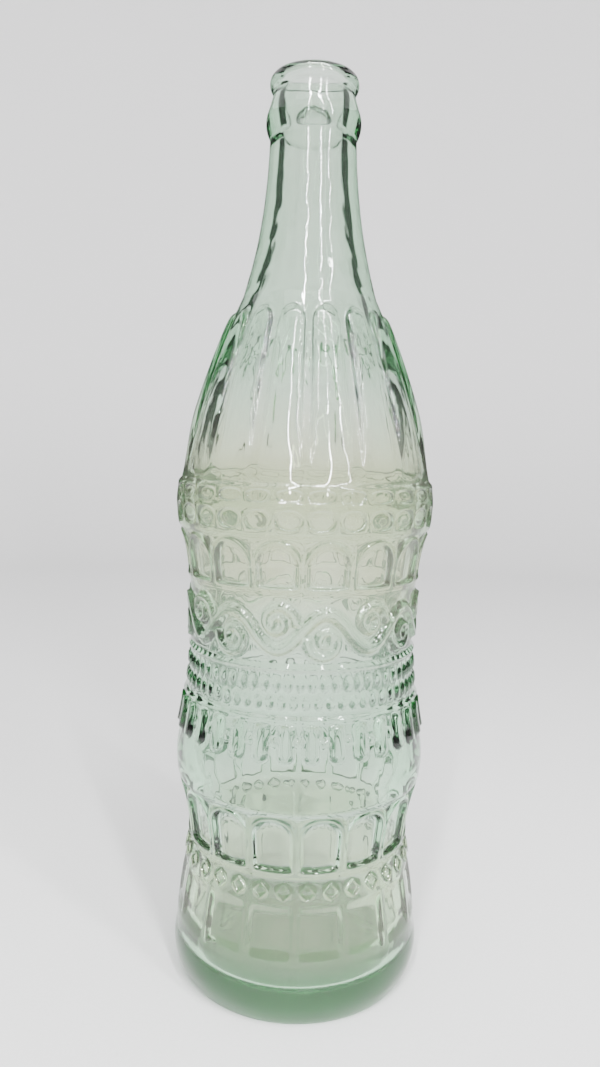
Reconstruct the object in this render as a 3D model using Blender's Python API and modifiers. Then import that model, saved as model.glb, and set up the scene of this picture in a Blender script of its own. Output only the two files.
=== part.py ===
"""A tall fluted glass soda bottle with a crown finish, standing on its base.

Metres, +Z up. The origin is the middle of the base, on the surface the bottle stands on.
The glass is one moulded piece: a turned wall, open at the mouth, with the mould's relief cut into it.
"""
import math

import bmesh
import bpy
from mathutils import Matrix, Vector

MM = 0.001

# Driving dimensions, in millimetres
HEIGHT = 277.0               # base to lip
LIP_RADIUS = 13.3            # standard 26.6 mm crown lip
BAND_RADIUS = 40.0           # widest point, the medallion band
REPEATS = 16                 # fingers and arches around the bottle
STEPS = 48                   # facets around the wall

# Shoulder grooves, the valleys between the raised fingers
GROOVE_FOOT = 159.5
GROOVE_TIP = 209.0
GROOVE_TUBE = 1.9            # radius of the round cutter
GROOVE_DEPTH = 1.0
GROOVE_FLARE = 1.7           # the valley opens out between the finger tips

# Sunk panels: foot and crown heights, width, and how far the flat floor is from the axis at each end
LOWER_ARCH = {"foot": 45.4, "crown": 61.6, "width": 11.4, "foot_floor": 34.0, "crown_floor": 36.4}
UPPER_ARCH = {"foot": 127.8, "crown": 140.6, "width": 11.0, "foot_floor": 34.8, "crown_floor": 37.2}
BASE_PANEL = {"foot": 20.5, "crown": 35.2, "width": 11.0, "foot_floor": 37.5, "crown_floor": 35.1}
PANEL_CUT = 4.0              # how far each panel's cutter reaches out of the glass


def clear_scene():
    for thing in list(bpy.data.objects):
        bpy.data.objects.remove(thing, do_unlink=True)


def new_collection(name):
    group = bpy.data.collections.new(name)
    bpy.context.scene.collection.children.link(group)
    return group


def glass_material():
    """Pale aqua bottle glass."""
    finish = bpy.data.materials.new("aqua_glass")
    finish.use_nodes = True
    shader = finish.node_tree.nodes["Principled BSDF"]
    shader.inputs["Base Color"].default_value = (0.74, 0.88, 0.79, 1.0)
    shader.inputs["Roughness"].default_value = 0.05
    shader.inputs["Metallic"].default_value = 0.0
    shader.inputs["IOR"].default_value = 1.52
    shader.inputs["Transmission Weight"].default_value = 1.0
    return finish


def arc(start, middle, end, count):
    """Points after start on the circle through three (radius, height) points."""
    (ax, ay), (bx, by), (cx, cy) = start, middle, end
    d = 2 * (ax * (by - cy) + bx * (cy - ay) + cx * (ay - by))
    a2, b2, c2 = ax * ax + ay * ay, bx * bx + by * by, cx * cx + cy * cy
    ux = (a2 * (by - cy) + b2 * (cy - ay) + c2 * (ay - by)) / d
    uy = (a2 * (cx - bx) + b2 * (ax - cx) + c2 * (bx - ax)) / d
    radius = math.hypot(ax - ux, ay - uy)
    first = math.atan2(ay - uy, ax - ux)
    via = (math.atan2(by - uy, bx - ux) - first) % math.tau
    sweep = (math.atan2(cy - uy, cx - ux) - first) % math.tau
    if via > sweep:
        sweep -= math.tau
    angles = [first + sweep * i / count for i in range(1, count + 1)]
    return [(ux + radius * math.cos(a), uy + radius * math.sin(a)) for a in angles]


def chain(start, stretches):
    """A run of arcs and straight lines, each (middle or None, end, number of points)."""
    points = [start]
    for middle, end, count in stretches:
        if middle is None:
            points.append(end)
        else:
            points += arc(points[-1], middle, end, count)
    return points


def outer_profile():
    """The outside, from the lip down to the middle of the base, over the crests of the relief."""
    return chain((12.0, HEIGHT), [
        ((LIP_RADIUS, 274.7), (12.3, 272.4), 4),           # rolled lip
        ((12.75, 268.9), (14.0, 264.6), 2),                # cone under the lip
        ((14.3, 262.4), (13.4, 258.6), 3),                 # reinforcing ring
        (None, (12.95, 257.9), 1),                         # its sharp lower step
        ((14.8, 238.0), (20.7, 211.0), 5),                 # neck
        (None, (22.2, 207.4), 1),                          # finger tips stand proud of the neck
        ((33.7, 180.0), (39.1, 160.0), 5),                 # shoulder, over the fingers
        (None, (38.8, 157.8), 1),                          # step above the band
        ((BAND_RADIUS, 150.5), (38.9, 142.8), 4),          # medallion band
        ((36.5, 132.0), (35.8, 126.7), 3),                 # upper arcade
        ((35.35, 106.0), (38.4, 78.2), 4),                 # waist
        ((39.35, 71.0), (38.1, 63.4), 4),                  # lower ring
        ((36.1, 53.0), (35.0, 44.2), 2),                   # lower arcade
        (None, (34.5, 43.2), 1),                           # notch under its sill
        ((35.6, 38.4), (36.5, 33.0), 2),                   # plain band
        ((38.2, 24.0), (39.0, 14.0), 2),                   # flare to the heel
        ((38.9, 5.2), (33.8, 0.0), 4),                     # rounded heel
        (None, (29.5, 0.0), 1),                            # ring the bottle stands on
        ((20.0, 2.2), (0.0, 3.0), 2),                      # shallow push-up
    ])


def inner_profile():
    """The inside, from the middle of the floor up to the mouth."""
    return chain((0.0, 9.5), [
        (None, (25.0, 9.5), 1),                            # floor
        ((31.2, 11.9), (34.2, 20.0), 3),                   # corner
        ((31.75, 44.0), (34.5, 71.5), 3),                  # behind the lower arcade
        ((32.0, 108.0), (35.7, 150.0), 4),                 # behind the waist
        ((33.0, 170.0), (25.2, 190.0), 3),                 # shoulder
        (None, (18.7, 202.0), 1),
        ((12.2, 224.5), (8.9, 252.0), 3),                  # bore of the neck
        (None, (8.5, 272.0), 1),
        ((8.95, 275.8), (10.4, HEIGHT), 2),                # rounded mouth
    ])


def revolve(name, group, profile, finish):
    """Turn a profile about Z. Its points run down the outer side, top to bottom."""
    mesh = bpy.data.meshes.new(name)
    points = [(r * MM, 0.0, z * MM) for r, z in profile]
    count = len(points)
    mesh.from_pydata(points, [(i, i + 1) for i in range(count - 1)], [])
    piece = bpy.data.objects.new(name, mesh)
    group.objects.link(piece)
    mesh.materials.append(finish)
    screw = piece.modifiers.new("turned_wall", "SCREW")
    screw.axis = "Z"
    screw.steps = STEPS
    screw.render_steps = STEPS
    screw.use_merge_vertices = True
    screw.merge_threshold = 0.00001
    screw.use_smooth_shade = True
    return piece


def as_mesh_cutter(curve_object, group):
    """A closed mesh from a curve, whose loose caps are welded on."""
    bpy.context.view_layer.update()
    evaluated = curve_object.evaluated_get(bpy.context.evaluated_depsgraph_get())
    mesh = bpy.data.meshes.new_from_object(evaluated)
    cage = bmesh.new()
    cage.from_mesh(mesh)
    bmesh.ops.remove_doubles(cage, verts=cage.verts, dist=0.000001)
    bmesh.ops.recalc_face_normals(cage, faces=cage.faces)
    cage.to_mesh(mesh)
    cage.free()
    cutter = bpy.data.objects.new(curve_object.name + "_cutter", mesh)
    cutter.matrix_world = curve_object.matrix_world
    group.objects.link(cutter)
    bpy.data.objects.remove(curve_object, do_unlink=True)
    return cutter


def groove_cutter(group):
    """A tube that lies in the shoulder along +X, wider where the finger tips part."""
    crest = arc((39.1, 160.0), (33.7, 180.0), (22.2, 207.4), 7)
    crest.insert(0, (39.1, 160.0))
    centres = [(crest[0][0] + GROOVE_TUBE, GROOVE_FOOT - GROOVE_TUBE)]
    for (r0, z0), (r1, z1) in zip(crest[:-1], crest[1:]):
        along = Vector((r1 - r0, z1 - z0)).normalized()
        outward = Vector((along.y, -along.x))
        clear = GROOVE_TUBE - GROOVE_DEPTH
        centres.append(((r0 + r1) / 2 + clear * outward.x, (z0 + z1) / 2 + clear * outward.y))
    tip_tube = GROOVE_TUBE * GROOVE_FLARE
    centres.append((crest[-1][0] + tip_tube - GROOVE_DEPTH * 0.8, GROOVE_TIP))
    centres.append((crest[-1][0] + 2 * tip_tube, GROOVE_TIP + tip_tube))
    data = bpy.data.curves.new("shoulder_groove", "CURVE")
    data.dimensions = "3D"
    data.bevel_depth = GROOVE_TUBE * MM
    data.bevel_resolution = 1
    data.use_fill_caps = True
    spline = data.splines.new("POLY")
    spline.points.add(len(centres) - 1)
    for point, (r, z) in zip(spline.points, centres):
        point.co = (r * MM, 0.0, z * MM, 1.0)
        point.radius = 1.0
    spline.points[-2].radius = GROOVE_FLARE
    spline.points[-1].radius = GROOVE_FLARE
    tube = bpy.data.objects.new("shoulder_groove", data)
    group.objects.link(tube)
    return as_mesh_cutter(tube, group)


def panel_cutter(name, group, panel, arched):
    """A slab with the panel's outline, whose inner face is the panel's floor on +X."""
    half = panel["width"] / 2
    rise = panel["crown"] - panel["foot"]
    lean = math.atan2(panel["crown_floor"] - panel["foot_floor"], rise)
    length = rise / math.cos(lean)
    outline = [(-half, 0.0), (half, 0.0)]
    if arched:
        spring = length - half
        outline.append((half, spring))
        outline += arc((half, spring), (0.0, length), (-half, spring), 8)
    else:
        outline += [(half, length), (-half, length)]
    data = bpy.data.curves.new(name, "CURVE")
    data.dimensions = "2D"
    data.fill_mode = "BOTH"
    data.extrude = PANEL_CUT / 2 * MM
    spline = data.splines.new("POLY")
    spline.points.add(len(outline) - 1)
    spline.use_cyclic_u = True
    for point, (across, up) in zip(spline.points, outline):
        point.co = (across * MM, up * MM, 0.0, 1.0)
    slab = bpy.data.objects.new(name, data)
    upright = Matrix(((0, 0, 1), (1, 0, 0), (0, 1, 0))).to_4x4()
    place = Matrix.Translation((panel["foot_floor"] * MM, 0.0, panel["foot"] * MM))
    outward = Matrix.Translation((0.0, 0.0, PANEL_CUT / 2 * MM))
    slab.matrix_world = place @ Matrix.Rotation(lean, 4, "Y") @ upright @ outward
    group.objects.link(slab)
    return as_mesh_cutter(slab, group)


def repeat_around(cutter, group, first_angle):
    """Copies of a cutter at even angles, the first one turned from +X to its own place."""
    place = cutter.matrix_world.copy()
    for i in range(REPEATS):
        turn = Matrix.Rotation(first_angle + math.tau * i / REPEATS, 4, "Z")
        copy = cutter if i == 0 else bpy.data.objects.new(f"{cutter.name}_{i + 1:02d}", cutter.data)
        if i:
            group.objects.link(copy)
        copy.matrix_world = turn @ place
        copy.hide_render = True
        copy.display_type = "WIRE"


def build():
    clear_scene()
    parts = new_collection("fluted_soda_bottle")
    cutters = new_collection("cutters")
    bottle = revolve("glass_bottle", parts, inner_profile() + outer_profile(), glass_material())
    front = -math.pi / 2
    half_pitch = math.pi / REPEATS
    repeat_around(groove_cutter(cutters), cutters, front)
    repeat_around(panel_cutter("lower_arch", cutters, LOWER_ARCH, True), cutters, front + half_pitch)
    repeat_around(panel_cutter("upper_arch", cutters, UPPER_ARCH, True), cutters, front + half_pitch)
    repeat_around(panel_cutter("base_panel", cutters, BASE_PANEL, False), cutters, front + half_pitch)
    relief = bottle.modifiers.new("moulded_relief", "BOOLEAN")
    relief.operation = "DIFFERENCE"
    relief.operand_type = "COLLECTION"
    relief.collection = cutters
    relief.solver = "EXACT"
    bottle.data.set_sharp_from_angle(angle=math.radians(35))


build()
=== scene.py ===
"""The fluted glass soda bottle, finished: fine moulded relief, clear aqua glass and a pale studio."""
import math

import bmesh
import bpy
import numpy as np
from mathutils import Matrix, Vector, noise


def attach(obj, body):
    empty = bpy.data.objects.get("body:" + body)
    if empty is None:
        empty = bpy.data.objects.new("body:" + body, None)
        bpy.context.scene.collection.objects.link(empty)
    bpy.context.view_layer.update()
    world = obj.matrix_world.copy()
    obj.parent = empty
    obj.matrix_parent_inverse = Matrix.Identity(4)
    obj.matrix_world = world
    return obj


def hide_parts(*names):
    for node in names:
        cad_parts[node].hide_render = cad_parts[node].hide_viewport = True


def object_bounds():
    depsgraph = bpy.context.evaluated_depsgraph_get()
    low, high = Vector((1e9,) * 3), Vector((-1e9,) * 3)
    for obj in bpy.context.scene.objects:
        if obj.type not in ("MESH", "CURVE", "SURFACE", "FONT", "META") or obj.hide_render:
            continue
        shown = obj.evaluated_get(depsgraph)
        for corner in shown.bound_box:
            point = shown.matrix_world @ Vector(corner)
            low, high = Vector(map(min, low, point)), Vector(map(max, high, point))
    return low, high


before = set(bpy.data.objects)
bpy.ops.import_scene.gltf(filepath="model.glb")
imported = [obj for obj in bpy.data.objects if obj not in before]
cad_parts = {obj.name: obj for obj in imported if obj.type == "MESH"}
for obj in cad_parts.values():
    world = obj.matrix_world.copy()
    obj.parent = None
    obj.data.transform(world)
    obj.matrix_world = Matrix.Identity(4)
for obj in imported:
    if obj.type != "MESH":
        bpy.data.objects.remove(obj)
CAD_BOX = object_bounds()

MM = 0.001
HEIGHT = (CAD_BOX[1].z - CAD_BOX[0].z) / MM       # base to lip
BAND_RADIUS = (CAD_BOX[1].x - CAD_BOX[0].x) / 2 / MM
ARCHES = 16                                       # arches, fingers and foot ribs round the wall
MEDALLIONS = 28
LOZENGES = 32
WAIST_COLUMNS = 20 * ARCHES
TURNED_COLUMNS = 96                               # round the plain turned surfaces


# ---------------------------------------------------------------- profiles

def arc(start, middle, end, count):
    """Points after start on the circle through three (radius, height) points."""
    (ax, ay), (bx, by), (cx, cy) = start, middle, end
    d = 2 * (ax * (by - cy) + bx * (cy - ay) + cx * (ay - by))
    a2, b2, c2 = ax * ax + ay * ay, bx * bx + by * by, cx * cx + cy * cy
    ux = (a2 * (by - cy) + b2 * (cy - ay) + c2 * (ay - by)) / d
    uy = (a2 * (cx - bx) + b2 * (ax - cx) + c2 * (bx - ax)) / d
    radius = math.hypot(ax - ux, ay - uy)
    first = math.atan2(ay - uy, ax - ux)
    via = (math.atan2(by - uy, bx - ux) - first) % math.tau
    sweep = (math.atan2(cy - uy, cx - ux) - first) % math.tau
    if via > sweep:
        sweep -= math.tau
    angles = [first + sweep * i / count for i in range(1, count + 1)]
    return [(ux + radius * math.cos(a), uy + radius * math.sin(a)) for a in angles]


def chain(start, stretches):
    """A run of arcs and straight lines, each (middle or None, end, number of points)."""
    points = [start]
    for middle, end, count in stretches:
        if middle is None:
            (r0, z0), (r1, z1) = points[-1], end
            steps = range(1, count + 1)
            points += [(r0 + (r1 - r0) * i / count, z0 + (z1 - z0) * i / count) for i in steps]
        else:
            points += arc(points[-1], middle, end, count)
    return points


HEEL_TOP = 19.0
NECK_FOOT = 212.0

BASE = chain((0.0, 3.0), [
    ((20.0, 2.2), (31.0, 0.0), 8),
    (None, (36.3, 0.0), 2),
    ((38.8, 4.6), (38.8, 14.0), 14),
    ((38.75, 16.5), (38.6, HEEL_TOP - 0.6), 2),
])

WALL = chain((38.6, HEEL_TOP), [
    ((37.7, 27.0), (36.3, 34.6), 30),             # flare above the heel
    ((35.9, 36.6), (35.4, 40.0), 20),             # plain band with lozenges
    (None, (34.6, 43.0), 8),
    (None, (35.0, 44.0), 4),                      # notch under the lower arcade
    ((36.1, 53.0), (38.1, 63.2), 40),             # lower arcade
    ((38.5, 63.9), (39.0, 66.0), 10),
    ((39.35, 71.0), (38.4, 78.2), 30),            # lower ring
    ((34.95, 106.0), (35.6, 126.0), 80),          # waist, between its ornaments
    (None, (35.95, 127.0), 4),
    ((36.6, 132.5), (38.7, 142.4), 40),           # upper arcade
    (None, (39.3, 143.6), 6),
    ((BAND_RADIUS - 0.05, 150.0), (39.4, 156.4), 40),   # band, over its sunk medallions
    (None, (38.4, 157.6), 6),
    ((32.7, 180.0), (20.4, NECK_FOOT), 120),      # shoulder, at the bottom of its valleys
])

NECK = chain((20.4, NECK_FOOT), [
    ((14.75, 238.0), (13.05, 258.0), 24),         # neck
    ((13.08, 258.7), (13.3, 259.3), 4),           # small step under the ring
    ((14.3, 262.9), (13.75, 266.4), 10),          # reinforcing ring
    ((12.8, 269.4), (12.2, 271.8), 7),            # cone under the lip
    ((12.1, 272.3), (12.8, 272.75), 3),           # crease
    ((13.35, 274.7), (12.2, HEIGHT), 10),         # rolled lip
    (None, (10.4, HEIGHT), 3),
    ((8.95, 275.8), (8.5, 272.0), 7),             # rounded mouth
    (None, (8.9, 252.0), 6),
])

HOLLOW = chain((8.9, 252.0), [
    ((12.3, 224.5), (19.1, 202.0), 13),           # bore of the neck
    (None, (25.8, 190.0), 4),
    ((33.3, 170.0), (35.5, 150.0), 13),           # shoulder
    ((31.0, 108.0), (33.8, 71.5), 20),            # behind the waist
    ((31.0, 44.0), (33.5, 20.0), 14),             # behind the lower arcade
    (None, (33.4, 11.5), 2),
    ((32.1, 8.3), (28.9, 7.0), 8),                # corner
    (None, (0.0, 7.0), 5),                        # floor
])

WALL_HEIGHTS = np.array([z for r, z in WALL])
WALL_RADII = np.array([r for r, z in WALL])


def wall_radius(z):
    return np.interp(z, WALL_HEIGHTS, WALL_RADII)


# ---------------------------------------------------------------- welded sheet of polygons

class Sheet:
    """Polygons whose corners are given by angle (degrees), height and relief (millimetres)."""

    def __init__(self):
        self.corners = []
        self.polygons = []

    def add(self, angles, heights, relief):
        """Add corners on the outer wall and return their numbers."""
        angles, heights, relief = np.broadcast_arrays(angles, heights, relief)
        radius = wall_radius(heights) + relief
        return self.add_points(angles, radius, heights)

    def add_points(self, angles, radius, heights):
        angles, radius, heights = np.broadcast_arrays(angles, radius, heights)
        turn = np.radians(angles)
        first = len(self.corners)
        xyz = np.stack([radius * np.sin(turn), -radius * np.cos(turn), heights], axis=-1)
        self.corners.extend(xyz.reshape(-1, 3).tolist())
        return np.arange(first, len(self.corners)).reshape(angles.shape)

    def grid(self, numbers, closed=False):
        """Quads between the rows of a table of corner numbers; rows run upwards."""
        rows, columns = numbers.shape
        for j in range(rows - 1):
            for i in range(columns if closed else columns - 1):
                k = (i + 1) % columns
                low, high = numbers[j], numbers[j + 1]
                self.polygons.append((low[i], low[k], high[k], high[i]))

    def loop(self, outer, inner):
        """Quads between two closed loops of the same length, the outer one anticlockwise."""
        count = len(outer)
        for i in range(count):
            k = (i + 1) % count
            self.polygons.append((outer[i], outer[k], inner[k], inner[i]))

    def ring(self, columns, height, relief=0.0, turn=0.0):
        """A full ring of corners on the outer wall."""
        return self.add(turn + np.arange(columns) * 360.0 / columns, height, relief)

    def zip(self, low, high, low_turn=0.0, high_turn=0.0):
        """Triangles between two full rings with different numbers of corners."""
        i = j = 0
        low_step, high_step = 360.0 / len(low), 360.0 / len(high)
        while i < len(low) or j < len(high):
            next_low = low_turn + low_step * (i + 1)
            next_high = high_turn + high_step * (j + 1)
            one, two = low[i % len(low)], high[j % len(high)]
            if j >= len(high) or (i < len(low) and next_low <= next_high):
                self.polygons.append((one, low[(i + 1) % len(low)], two))
                i += 1
            else:
                self.polygons.append((one, high[(j + 1) % len(high)], two))
                j += 1

    def band(self, columns, heights):
        """A plain closed band of the wall with a row at each height."""
        angles = np.arange(columns)[None, :] * 360.0 / columns
        self.grid(self.add(angles, np.asarray(heights)[:, None], 0.0), closed=True)


# ---------------------------------------------------------------- moulded cells

def rounded_path(half, low, low_spring, high_spring, high, low_power, high_power):
    """A closed outline, anticlockwise from its lower left: superelliptic ends, straight sides."""
    turn = np.radians(np.linspace(225.0, 585.0, 721))
    c, s = np.cos(turn), np.sin(turn)
    power = np.where(s < 0, low_power, high_power)
    across = half * np.sign(c) * np.abs(c) ** (2.0 / power)
    rise = np.abs(s) ** (2.0 / power)
    below = low_spring - (low_spring - low) * rise
    above = high_spring + (high - high_spring) * rise
    up = np.where(s < 0, below, above)
    return across, up


def even_points(across, up, bottom, rest):
    """Resample that outline: bottom steps along its lower quarter, and rest steps round the others."""
    quarter = len(across) // 4
    points = []
    for a, b, count in ((0, quarter + 1, bottom), (quarter, len(across), rest)):
        x, y = across[a:b], up[a:b]
        length = np.concatenate([[0.0], np.cumsum(np.hypot(np.diff(x), np.diff(y)))])
        wanted = np.linspace(0.0, length[-1], count + 1)[:-1]
        points.append(np.stack([np.interp(wanted, length, x), np.interp(wanted, length, y)], axis=1))
    return np.concatenate(points)


class Cell:
    """One repeat of a moulded pattern: a rectangle of wall round a closed outline."""

    def __init__(self, sheet, repeats, low, high, bottom, side, radius, turn=0.0):
        self.sheet, self.repeats, self.low, self.high = sheet, repeats, low, high
        self.bottom, self.side = bottom, side
        self.pitch = 360.0 / repeats
        self.degrees = math.degrees(1.0 / radius)          # one millimetre round the wall
        self.centres = (np.arange(repeats) + 0.5) * self.pitch + turn

    def frame_path(self):
        half = self.pitch / 2 / self.degrees
        b, s = self.bottom, self.side
        x = np.concatenate([np.linspace(-half, half, b + 1)[:-1], np.full(s, half),
                            np.linspace(half, -half, b + 1)[:-1], np.full(s, -half)])
        rise = np.linspace(self.low, self.high, s + 1)
        y = np.concatenate([np.full(b, self.low), rise[:-1], np.full(b, self.high), rise[::-1][:-1]])
        return np.stack([x, y], axis=1)

    def place(self, path, relief):
        """Corners of a path in every repeat."""
        angles = self.centres[:, None] + path[None, :, 0] * self.degrees
        heights = np.broadcast_to(path[None, :, 1], angles.shape)
        return self.sheet.add(angles, heights, np.broadcast_to(relief, angles.shape))

    def build(self, rings, inside):
        """rings: (path, relief) from the frame inwards. inside: relief of the middle by height."""
        placed = [self.place(path, relief) for path, relief in rings]
        for outer, inner in zip(placed[:-1], placed[1:]):
            for one, two in zip(outer, inner):
                self.sheet.loop(one, two)
        self.fill(rings[-1][0], placed[-1], inside)

    def fill(self, path, placed, inside):
        """Rungs from side to side across the innermost path."""
        b = self.bottom
        count = len(path)
        rungs = (count - b) // 2
        share = np.linspace(0.0, 1.0, b + 1)[1:-1]
        rows = [placed[:, :b + 1]]
        for k in range(1, rungs):
            right, left = path[b + k], path[(count - k) % count]
            across = left[0] + (right[0] - left[0]) * share
            up = left[1] + (right[1] - left[1]) * share
            middle = self.place(np.stack([across, up], axis=1), inside(up))
            left_end, right_end = placed[:, [(count - k) % count]], placed[:, [b + k]]
            rows.append(np.concatenate([left_end, middle, right_end], axis=1))
        crown = placed[:, b + rungs]
        for r in range(self.repeats):
            self.sheet.grid(np.stack([row[r] for row in rows]))
            top = rows[-1][r]
            for i in range(b):
                self.sheet.polygons.append((top[i], top[i + 1], crown[r]))


def smooth_step(x):
    x = np.clip(x, 0.0, 1.0)
    return x * x * (3.0 - 2.0 * x)


def between(one, two, share):
    return one + (two - one) * share


RIM_HEIGHT = 0.28
PANEL_SLOPE = ((0.0, 0.0), (0.3, 0.52), (0.65, 0.82), (1.2, 0.96), (2.2, 1.02))  # inset, depth share


def sunk_panels(sheet, low, high, radius, half, sill, crown, spring, power, rim, depth, spandrel,
                side):
    """Panels sunk behind raised rims, sloping most under their crowns, with sunk corners above."""
    cell = Cell(sheet, ARCHES, low, high, 12, side, radius)

    def path(inset):
        beyond = max(inset - rim, 0.0)
        low = sill + min(inset, rim) + 0.5 * beyond
        high = crown - min(inset, rim) - 1.7 * beyond
        outline = rounded_path(half - inset, low, low + 0.7, spring - 0.5 * beyond, high, 3.0, power)
        return even_points(*outline, cell.bottom, cell.bottom + 2 * side)

    rim_path = path(0.0)
    box_path = cell.frame_path()
    above = smooth_step((rim_path[:, 1] - spring) / 2.0)
    gap = np.hypot(*(box_path - rim_path).T)
    rings = []
    for share in (1.0, 0.45):
        corner = between(rim_path, box_path, share)
        under_top = smooth_step((high - corner[:, 1]) / 0.8)
        sunk = spandrel * above * smooth_step(gap * share / 1.1) * under_top
        rings.append((corner, -sunk))
    for share in (0.0, 0.3, 0.7):
        rings.append((path(rim * share), RIM_HEIGHT if share else 0.0))
    for inset, level in PANEL_SLOPE:
        rings.append((path(rim + inset), -level * depth))
    floor = -PANEL_SLOPE[-1][1] * depth
    cell.build(rings, lambda up: np.full(len(up), floor))


def pads(sheet, repeats, low, high, radius, half, foot, top, swell, power, bottom, side, turn,
         profile, fade=None):
    """Rounded pads on the wall, raised or sunk. profile: (share of the way in, relief) from the edge.
    fade: heights between which the pads rise out of the wall."""
    cell = Cell(sheet, repeats, low, high, bottom, side, radius, turn)
    low_spring, high_spring = foot + swell[0], top - swell[1]

    def path(share):
        keep = 1.0 - share
        lowest = low_spring - (low_spring - foot) * keep
        highest = high_spring + (top - high_spring) * keep
        outline = rounded_path(half * keep, lowest, low_spring, high_spring, highest, power, power)
        return even_points(*outline, bottom, bottom + 2 * side)

    def grown(heights):
        if fade is None:
            return np.ones(len(heights))
        return smooth_step((heights - fade[0]) / (fade[1] - fade[0]))

    rings = [(cell.frame_path(), 0.0), (between(path(0.0), cell.frame_path(), 0.4), 0.0)]
    rings += [(path(share), relief * grown(path(share)[:, 1])) for share, relief in profile]
    crest = profile[-1][1]
    cell.build(rings, lambda up: crest * grown(up))


# ---------------------------------------------------------------- waist ornament

WAIST_LOW, WAIST_HIGH = 78.9, 126.2
LINE_HEIGHTS = (91.0, 105.4)
VINE_HEIGHT = 115.9
VINES = 8
BEADS = 64
BEAD_ROWS = ((95.8, 3.5, 2.3, 0.0), (101.0, 3.5, 1.5, 0.5))      # height, tall, wide, shift in steps
BARS = 32
BAR_HEIGHT = 84.7
WAIST_MEAN_RADIUS = 35.3
FAR = 99.0


def stroke(distance, width, height, edge=0.55):
    """Relief of a rounded stroke at a distance from its middle line."""
    return height * smooth_step((width / 2 - distance) / edge + 0.5)


def nearest(x, y, path_x, path_y, widths):
    """Distance to a path less its own half width there, for each point."""
    best = np.full(x.shape, FAR)
    knots = list(zip(path_x, path_y, widths))
    for (x0, y0, w0), (x1, y1, w1) in zip(knots, knots[1:]):
        dx, dy = x1 - x0, y1 - y0
        t = np.clip(((x - x0) * dx + (y - y0) * dy) / (dx * dx + dy * dy), 0.0, 1.0)
        gap = np.hypot(x - x0 - t * dx, y - y0 - t * dy) - (w0 + (w1 - w0) * t) / 2
        best = np.minimum(best, gap)
    return best


def vine_paths(period):
    """Middle lines and widths of one repeat of the vine: a wave and its two curled tendrils."""
    x = np.linspace(-0.5, 0.5, 29) * period
    wave = (x, 5.2 * np.sin(math.tau * x / period), np.full(29, 2.8))
    paths = [wave]
    for side in (1, -1):
        turn = np.linspace(0.0, 1.55 * math.tau, 34)
        reach = 5.4 * np.exp(-0.155 * turn)
        middle = side * 0.25 * period
        curl_x = middle - side * reach * np.cos(turn)
        curl_y = side * (-2.6 + reach * np.sin(turn) * -1.0)
        paths.append((curl_x, curl_y, np.linspace(2.4, 1.5, 34)))
    return paths


def waist_relief(angles, heights):
    """Vine, rules, beads and bars raised on the waist."""
    mm = math.radians(1.0) * WAIST_MEAN_RADIUS        # millimetres round the wall in a degree
    period = 360.0 / VINES * mm
    x = (angles * mm + period / 2) % period - period / 2
    y = heights - VINE_HEIGHT
    gap = np.full(x.shape, FAR)
    for path_x, path_y, widths in vine_paths(period):
        for shift in (-period, 0.0, period):
            gap = np.minimum(gap, nearest(x, y, path_x + shift, path_y, widths))
    relief = 1.4 * smooth_step(0.5 - gap / 0.9)
    for line in LINE_HEIGHTS:
        relief = np.maximum(relief, stroke(np.abs(heights - line), 0.9, 1.0))
    for middle, tall, wide, shift in BEAD_ROWS:
        step = 360.0 / BEADS * mm
        along = (angles * mm + shift * step) % step - step / 2
        bead = np.hypot(along / (wide / 2), (heights - middle) / (tall / 2))
        relief = np.maximum(relief, 0.85 * smooth_step((1.25 - bead) * 1.6))
    step = 360.0 / BARS * mm
    along = np.abs((angles * mm) % step - step / 2)
    beyond = np.maximum(np.abs(heights - BAR_HEIGHT) - 3.6, 0.0)
    relief = np.maximum(relief, stroke(np.hypot(along, beyond), 3.1, 1.3))
    dot = np.hypot((angles * mm + step / 2) % step - step / 2, heights - BAR_HEIGHT)
    return np.maximum(relief, stroke(dot, 1.7, 0.55))


def foot_relief(angles, heights):
    """Shallow hollows between narrow upright ribs, fading out above and below."""
    step = math.tau * 37.6 / ARCHES
    beside = np.abs((angles / 360.0 * ARCHES + 0.5) % 1.0 - 0.5) * step
    hollow = smooth_step((beside - 0.6) / 1.0)
    return -1.0 * hollow * smooth_step((heights - 19.5) / 4.0) * smooth_step((35.8 - heights) / 3.0)


# ---------------------------------------------------------------- moulded wall

PANEL_COLUMNS = 12 * ARCHES
MEDALLION_COLUMNS = 6 * MEDALLIONS
MEDALLION_TURN = 0.5                              # degrees
OVAL_ROWS = ((143.6, 151.2, 4.1, 144.6, 150.3), (151.2, 156.4, 4.0, 152.2, 155.8))
LOZENGE_LINE = ((0.0, 0.0), (0.06, 0.5), (0.13, 0.7), (0.22, 0.7), (0.29, 0.5), (0.35, 0.0))
OVAL_DISH = ((0.0, 0.0), (0.05, -0.36), (0.1, -0.48), (0.3, -0.48), (0.55, -0.42))
FINGER_SWELL = ((0.0, 0.0), (0.05, 0.32), (0.11, 0.68), (0.18, 0.9), (0.27, 1.08), (0.4, 1.22),
                (0.58, 1.32), (0.82, 1.36))


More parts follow.
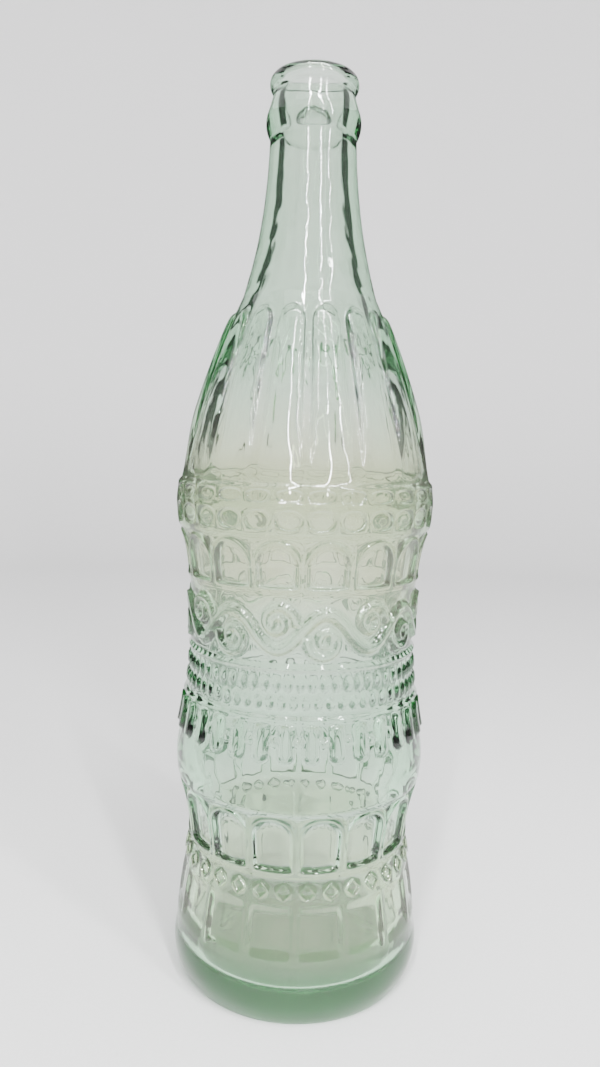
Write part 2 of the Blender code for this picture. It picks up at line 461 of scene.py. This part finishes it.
def moulded_wall():
    """The whole outer wall between the heel and the neck, zone by zone."""
    sheet = Sheet()
    angles = np.arange(WAIST_COLUMNS)[None, :] * 360.0 / WAIST_COLUMNS

    # foot ribs and lozenges
    sheet.zip(sheet.ring(TURNED_COLUMNS, HEEL_TOP - 0.6), sheet.ring(WAIST_COLUMNS, HEEL_TOP))
    heights = np.linspace(HEEL_TOP, 36.0, 16)[:, None]
    sheet.grid(sheet.add(angles, heights, foot_relief(angles, heights)), closed=True)
    sheet.zip(sheet.ring(WAIST_COLUMNS, 36.0), sheet.ring(PANEL_COLUMNS, 36.2))
    pads(sheet, LOZENGES, 36.2, 43.2, radius=35.2, half=2.7, foot=36.95, top=42.35,
         swell=(2.7, 2.7), power=1.0, bottom=6, side=4, turn=0.0, profile=LOZENGE_LINE)
    sheet.band(PANEL_COLUMNS, (43.2, 43.6, 44.0, 44.2))

    # lower arcade and the ring above it
    sunk_panels(sheet, 44.2, 63.4, radius=36.1, half=6.85, sill=44.6, crown=62.9, spring=56.0,
                power=2.0, rim=1.1, depth=1.6, spandrel=1.0, side=12)
    rows = np.concatenate([np.linspace(63.4, 66.0, 5), np.linspace(67.5, 77.0, 6), [78.4]])
    sheet.band(PANEL_COLUMNS, rows)
    sheet.zip(sheet.ring(PANEL_COLUMNS, 78.4), sheet.ring(WAIST_COLUMNS, WAIST_LOW))

    # waist
    heights = np.linspace(WAIST_LOW, WAIST_HIGH, 68)[:, None]
    relief = waist_relief(*np.broadcast_arrays(angles, heights))
    relief[[0, -1]] = 0.0
    sheet.grid(sheet.add(angles, heights, relief), closed=True)
    sheet.zip(sheet.ring(WAIST_COLUMNS, WAIST_HIGH), sheet.ring(PANEL_COLUMNS, 126.6))

    # upper arcade
    sunk_panels(sheet, 126.6, 142.8, radius=36.8, half=6.8, sill=127.3, crown=141.8, spring=134.6,
                power=1.85, rim=0.95, depth=1.1, spandrel=0.6, side=11)

    # band with its two rows of ovals
    sheet.zip(sheet.ring(PANEL_COLUMNS, 142.8),
              sheet.ring(MEDALLION_COLUMNS, 143.6, turn=MEDALLION_TURN), high_turn=MEDALLION_TURN)
    for low, high, half, foot, top in OVAL_ROWS:
        swell = (top - foot) / 2
        pads(sheet, MEDALLIONS, low, high, radius=BAND_RADIUS, half=half, foot=foot, top=top,
             swell=(swell, swell), power=2.1, bottom=6, side=3, turn=MEDALLION_TURN,
             profile=OVAL_DISH)
    sheet.zip(sheet.ring(MEDALLION_COLUMNS, 156.4, turn=MEDALLION_TURN),
              sheet.ring(PANEL_COLUMNS, 157.0), low_turn=MEDALLION_TURN)
    sheet.band(PANEL_COLUMNS, (157.0, 157.6))

    # fingers of the shoulder
    pads(sheet, ARCHES, 157.6, 211.2, radius=30.0, half=4.95, foot=158.4, top=207.2,
         swell=(5.0, 4.6), power=2.0, bottom=12, side=24, turn=0.0, profile=FINGER_SWELL,
         fade=(158.6, 178.0))
    sheet.zip(sheet.ring(PANEL_COLUMNS, 211.2), sheet.ring(TURNED_COLUMNS, NECK_FOOT))
    mesh = bpy.data.meshes.new("moulded_wall")
    mesh.from_pydata([(x * MM, y * MM, z * MM) for x, y, z in sheet.corners], [],
                     [tuple(int(n) for n in polygon) for polygon in sheet.polygons])
    piece = bpy.data.objects.new("moulded_wall", mesh)
    bpy.context.collection.objects.link(piece)
    return piece


# ---------------------------------------------------------------- turned surfaces

def select_only(*pieces):
    for thing in bpy.context.selected_objects:
        thing.select_set(False)
    for piece in pieces:
        piece.select_set(True)
    bpy.context.view_layer.objects.active = pieces[0]


def turned(name, profile, columns=TURNED_COLUMNS, close=True):
    """Spin a (radius, height) profile in millimetres round the upright axis."""
    mesh = bpy.data.meshes.new(name)
    mesh.from_pydata([(0.0, -r * MM, z * MM) for r, z in profile],
                     [(i, i + 1) for i in range(len(profile) - 1)], [])
    piece = bpy.data.objects.new(name, mesh)
    bpy.context.collection.objects.link(piece)
    select_only(piece)
    bpy.ops.object.mode_set(mode="EDIT")
    bpy.ops.mesh.select_all(action="SELECT")
    bpy.ops.mesh.spin(steps=columns, angle=math.tau, center=(0, 0, 0), axis=(0, 0, 1))
    bpy.ops.mesh.select_all(action="SELECT")
    bpy.ops.mesh.remove_doubles(threshold=0.000002)
    bpy.ops.object.mode_set(mode="OBJECT")
    return piece


def sway(piece):
    """Blown glass strays a little from its true radius, more inside than against the mould."""
    floor, throat = 6.5, 250.0                        # heights between which the inside strays more
    for vertex in piece.data.vertices:
        x, y, z = (n / MM for n in vertex.co)
        radius = math.hypot(x, y)
        if radius < 0.01:
            continue
        inside = radius < wall_radius(z) - 1.8 and floor < z < throat
        deep = min(1.0, (throat - z) / 20.0) * min(1.0, (z - floor) / 8.0) if inside else 0.0
        amount = 0.06 + 0.22 * deep
        start = Vector((7.0, 3.0, 1.0)) if inside else Vector((0.0, 0.0, 0.0))
        swing = noise.noise(Vector((x, y, z * 0.6)) / 21.0 + start)
        shift = amount * swing * min(1.0, radius / 10.0)
        vertex.co.x *= 1.0 + shift / radius
        vertex.co.y *= 1.0 + shift / radius


def glass_bottle():
    wall = moulded_wall()
    base = turned("base", BASE)
    neck = turned("neck", NECK)
    hollow = turned("hollow", HOLLOW)
    select_only(wall, base, neck, hollow)
    bpy.ops.object.join()
    wall.name = wall.data.name = "moulded_glass"
    bpy.ops.object.mode_set(mode="EDIT")
    bpy.ops.mesh.select_all(action="SELECT")
    bpy.ops.mesh.remove_doubles(threshold=0.000004)
    bpy.ops.mesh.normals_make_consistent(inside=False)
    bpy.ops.object.mode_set(mode="OBJECT")
    bpy.ops.object.shade_smooth()
    sway(wall)
    return wall


bottle = glass_bottle()


# ---------------------------------------------------------------- materials

class Nodes:
    """Short hand for a material's node tree."""

    def __init__(self, name):
        self.material = bpy.data.materials.new(name)
        self.material.use_nodes = True
        self.tree = self.material.node_tree
        self.tree.nodes.clear()
        self.output = self.tree.nodes.new("ShaderNodeOutputMaterial")

    def node(self, kind, **settings):
        made = self.tree.nodes.new(kind)
        for key, value in settings.items():
            setattr(made, key, value)
        return made

    def link(self, source, target):
        self.tree.links.new(source, target)

    def noise(self, place, scale, detail=2.0, stretch=None):
        """Noise on object coordinates; stretch scales them along each axis first."""
        if stretch:
            mapping = self.node("ShaderNodeMapping")
            mapping.inputs["Scale"].default_value = stretch
            self.link(place, mapping.inputs["Vector"])
            place = mapping.outputs["Vector"]
        made = self.node("ShaderNodeTexNoise")
        made.inputs["Scale"].default_value = scale
        made.inputs["Detail"].default_value = detail
        self.link(place, made.inputs["Vector"])
        return made.outputs["Fac"]

    def spread(self, value, low, high, to_low, to_high):
        """Map Range with smooth ends."""
        made = self.node("ShaderNodeMapRange", interpolation_type="SMOOTHSTEP")
        made.inputs["From Min"].default_value = low
        made.inputs["From Max"].default_value = high
        made.inputs["To Min"].default_value = to_low
        made.inputs["To Max"].default_value = to_high
        self.link(value, made.inputs["Value"])
        return made.outputs["Result"]

    def maths(self, operation, one, two):
        made = self.node("ShaderNodeMath", operation=operation)
        for socket, value in zip(made.inputs, (one, two)):
            if isinstance(value, (int, float)):
                socket.default_value = value
            else:
                self.link(value, socket)
        return made.outputs["Value"]

    def blend(self, share, one, two):
        """Mix two colours, each a value or a socket."""
        made = self.node("ShaderNodeMix", data_type="RGBA")
        self.link(share, made.inputs["Factor"])
        for socket, value in ((made.inputs[6], one), (made.inputs[7], two)):
            if isinstance(value, tuple):
                socket.default_value = value
            else:
                self.link(value, socket)
        return made.outputs[2]


CLEAR_GLASS = (0.988, 0.986, 0.975, 1.0)
NECK_GLASS = (0.994, 0.982, 0.972, 1.0)
LOW_HAZE = (0.92, 0.915, 0.73, 1.0)
CREAM_HAZE = (0.955, 0.908, 0.735, 1.0)
SCUFFED_BASE = (0.37, 0.74, 0.47, 1.0)
GLASS_TINT = (0.0, 0.58, 0.16, 1.0)
RING_REACH = (0.0363, 0.0368)                     # radii between which the scuffed ring ends
TINT_DENSITY = 54.0


def soda_glass():
    """Old pale aqua glass: clear, greener where it is thick, hazed on the band and the foot."""
    n = Nodes("aqua_soda_glass")
    place = n.node("ShaderNodeTexCoord").outputs["Object"]
    parts = n.node("ShaderNodeSeparateXYZ")
    n.link(place, parts.inputs["Vector"])
    height = parts.outputs["Z"]
    shader = n.node("ShaderNodeBsdfPrincipled")
    shader.inputs["IOR"].default_value = 1.52
    shader.inputs["Metallic"].default_value = 0.0

    cloud = n.noise(place, 22.0, 3.0)
    rise = n.spread(height, 0.098, 0.128, 0.0, 1.0)
    fall = n.spread(height, 0.148, 0.192, 1.0, 0.0)
    patchy = n.spread(cloud, 0.3, 0.7, 0.65, 1.0)
    haze = n.maths("MULTIPLY", n.maths("MULTIPLY", rise, fall), patchy)
    low_rise = n.spread(height, 0.010, 0.022, 0.0, 0.9)
    low_fall = n.spread(height, 0.036, 0.052, 1.0, 0.0)
    low_haze = n.maths("MULTIPLY", low_rise, low_fall)

    # underside and bearing ring
    x_squared = n.maths("POWER", parts.outputs["X"], 2.0)
    y_squared = n.maths("POWER", parts.outputs["Y"], 2.0)
    ring_end, bare = (reach ** 2 for reach in RING_REACH)
    within = n.spread(n.maths("ADD", x_squared, y_squared), ring_end, bare, 1.0, 0.0)
    scuffed = n.maths("MULTIPLY", n.spread(height, 0.0030, 0.0036, 1.0, 0.0), within)

    tone = n.blend(n.spread(height, 0.16, 0.22, 0.0, 1.0), CLEAR_GLASS, NECK_GLASS)
    tone = n.blend(haze, tone, CREAM_HAZE)
    tone = n.blend(low_haze, tone, LOW_HAZE)
    n.link(n.blend(scuffed, tone, SCUFFED_BASE), shader.inputs["Base Color"])
    clear = n.spread(n.maths("MAXIMUM", haze, low_haze), 0.0, 1.0, 0.995, 0.95)
    clear = n.maths("MULTIPLY", clear, n.spread(scuffed, 0.0, 1.0, 1.0, 0.7))
    n.link(clear, shader.inputs["Transmission Weight"])

    wear = n.noise(place, 140.0, 4.0)
    smooth = n.spread(wear, 0.45, 0.8, 0.0, 0.015)
    n.link(n.maths("ADD", smooth, n.maths("MULTIPLY", scuffed, 0.45)), shader.inputs["Roughness"])
    ripple = n.noise(place, 110.0, 2.0, stretch=(1.0, 1.0, 0.35))
    grit = n.noise(place, 460.0, 0.0, stretch=(1.0, 1.0, 0.5))
    drawn = n.noise(place, 620.0, 0.0, stretch=(1.0, 1.0, 0.06))     # upright drag lines
    drawn = n.maths("MULTIPLY", drawn, n.spread(height, 0.158, 0.172, 0.0, 0.36))
    drawn = n.maths("MULTIPLY", drawn, n.spread(height, 0.198, 0.214, 1.0, 0.5))
    grit = n.maths("MULTIPLY", grit, n.spread(height, 0.206, 0.220, 0.2, 0.5))
    bump = n.node("ShaderNodeBump")
    bump.inputs["Strength"].default_value = 1.0
    bump.inputs["Distance"].default_value = 0.00016
    n.link(n.maths("ADD", n.maths("ADD", ripple, drawn), grit), bump.inputs["Height"])
    n.link(bump.outputs["Normal"], shader.inputs["Normal"])
    n.link(shader.outputs["BSDF"], n.output.inputs["Surface"])

    tint = n.node("ShaderNodeVolumeAbsorption")
    tint.inputs["Color"].default_value = GLASS_TINT
    tint.inputs["Density"].default_value = TINT_DENSITY
    n.link(tint.outputs["Volume"], n.output.inputs["Volume"])
    return n.material


def studio_cloth():
    """Pale matt surface of the studio, with painted light: the upright wall is painted paler than the
    floor, making up for the top lamp lighting the floor more.
    """
    n = Nodes("pale_studio_cloth")
    place = n.node("ShaderNodeTexCoord").outputs["Object"]
    shader = n.node("ShaderNodeBsdfPrincipled")
    shader.inputs["Roughness"].default_value = 0.95
    shader.inputs["Specular IOR Level"].default_value = 0.1
    parts = n.node("ShaderNodeSeparateXYZ")
    n.link(place, parts.inputs["Vector"])
    # painted light: the cloth turns paler from the floor up into the wall, standing in for light the
    # upright wall gets less of
    wall = n.spread(parts.outputs["Z"], 0.0, 0.3, 0.0, 1.0)
    grain = n.noise(place, 900.0, 2.0)
    floor = n.blend(grain, (0.70, 0.70, 0.70, 1.0), (0.76, 0.76, 0.765, 1.0))
    n.link(n.blend(wall, floor, (0.84, 0.835, 0.84, 1.0)), shader.inputs["Base Color"])
    n.link(shader.outputs["BSDF"], n.output.inputs["Surface"])
    return n.material


def plain_card(name, colour):
    n = Nodes(name)
    shader = n.node("ShaderNodeBsdfPrincipled")
    shader.inputs["Base Color"].default_value = colour
    shader.inputs["Roughness"].default_value = 0.9
    n.link(shader.outputs["BSDF"], n.output.inputs["Surface"])
    return n.material


bottle.data.materials.append(soda_glass())
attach(bottle, "root")
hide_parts("glass_bottle")


# ---------------------------------------------------------------- studio

def around(azimuth, distance, height):
    """A point round the bottle: azimuth in degrees from straight behind it, clockwise from above."""
    turn = math.radians(azimuth)
    return Vector((distance * math.sin(turn), distance * math.cos(turn), height))


def facing(obj, target):
    obj.rotation_euler = (target - obj.location).to_track_quat("-Z", "Y").to_euler()


def cyclorama():
    """A round pale floor that sweeps up into a wall on every side."""
    low = -0.0002                                     # a hair below the base
    profile = [(0.0, low), (0.35, low), (0.9, low)] + arc((0.9, low), (1.07, 0.07), (1.15, 0.25), 10)
    profile += [(1.15, 0.8), (1.15, 1.45)]
    sweep = turned("studio_sweep", [(r / MM, z / MM) for r, z in profile], columns=64)
    select_only(sweep)
    bpy.ops.object.shade_smooth()
    sweep.data.materials.append(studio_cloth())


def side_card(name, azimuth, distance, width, tall, material):
    """An upright card that only the glass sees."""
    bpy.ops.mesh.primitive_plane_add(size=1.0, location=around(azimuth, distance, tall / 2),
                                     rotation=(math.radians(90), 0.0, -math.radians(azimuth)))
    card = bpy.context.object
    card.name = card.data.name = name
    card.scale = (width, tall, 1.0)
    bpy.ops.object.transform_apply(location=True, rotation=True, scale=True)
    card.data.materials.append(material)
    only_glass_sees(card)
    card.visible_glossy = False


def only_glass_sees(thing):
    thing.visible_camera = False
    thing.visible_diffuse = False
    thing.visible_shadow = False


def dim_ring():
    """A dim grey room round the bottle for its reflections; nothing else sees it."""
    bpy.ops.mesh.primitive_cylinder_add(vertices=64, radius=0.9, depth=0.8, end_fill_type="NOTHING",
                                        location=(0.0, 0.0, 0.405))
    ring = bpy.context.object
    ring.name = ring.data.name = "dim_room"
    bpy.ops.object.transform_apply(location=True, rotation=True, scale=True)
    ring.data.materials.append(CARD)
    only_glass_sees(ring)
    ring.visible_transmission = False


def area_light(name, place, target, wide, long, power, tint=(1.0, 1.0, 1.0)):
    data = bpy.data.lights.new(name, "AREA")
    data.shape = "RECTANGLE"
    data.size = wide
    data.size_y = long
    data.energy = power
    data.color = tint
    lamp = bpy.data.objects.new(name, data)
    bpy.context.collection.objects.link(lamp)
    lamp.location = place
    facing(lamp, target)
    lamp.visible_camera = False
    return lamp


CARD = plain_card("dark_card", (0.012, 0.013, 0.012, 1.0))
LOW_CARD = plain_card("green_card", (0.05, 0.12, 0.075, 1.0))      # greens the waist's relief
cyclorama()
dim_ring()
for side in (-1, 1):
    name = "left" if side < 0 else "right"
    side_card(name + "_card_behind", side * 58.0, 0.95, 0.48, 0.82, CARD)
    side_card(name + "_card_front", side * 122.0, 0.95, 0.48, 0.82, CARD)
    side_card(name + "_card_low", side * 30.0, 0.24, 0.10, 0.115, LOW_CARD)

MIDDLE = Vector((0.0, 0.0, 0.14))
area_light("soft_top", Vector((0.0, 0.0, 1.5)), MIDDLE, 1.6, 1.6, 14.9)
TUBES = (("left_tube", 192.0, 9.0), ("right_tube", 159.0, 9.0), ("far_tube", 138.0, 5.0))
for name, azimuth, power in TUBES:
    area_light(name, around(azimuth, 0.55, 0.62), MIDDLE, 0.01, 0.8, power)

bar = area_light("ledge_bar", Vector((0.0, -0.26, 1.1)), MIDDLE, 0.4, 0.03, 6.0)
bar.visible_diffuse = False

world = bpy.data.worlds.new("soft_room")
world.use_nodes = True
sky = world.node_tree.nodes["Background"]
sky.inputs["Color"].default_value = (1.0, 1.0, 1.0, 1.0)
sky.inputs["Strength"].default_value = 0.15
bpy.context.scene.world = world


# ---------------------------------------------------------------- camera

data = bpy.data.cameras.new("camera")
data.sensor_fit = "VERTICAL"
data.sensor_height = 36.0
data.lens = 28.3
data.clip_start = 0.01
camera = bpy.data.objects.new("camera", data)
bpy.context.collection.objects.link(camera)
camera.matrix_world = (Matrix.Translation((0.0, -0.2641, 0.1683))
                       @ Matrix.Rotation(math.radians(0.28), 4, "Z")
                       @ Matrix.Rotation(math.radians(90.0 - 6.14), 4, "X")
                       @ Matrix.Rotation(math.radians(1.34), 4, "Z"))
bpy.context.scene.camera = camera
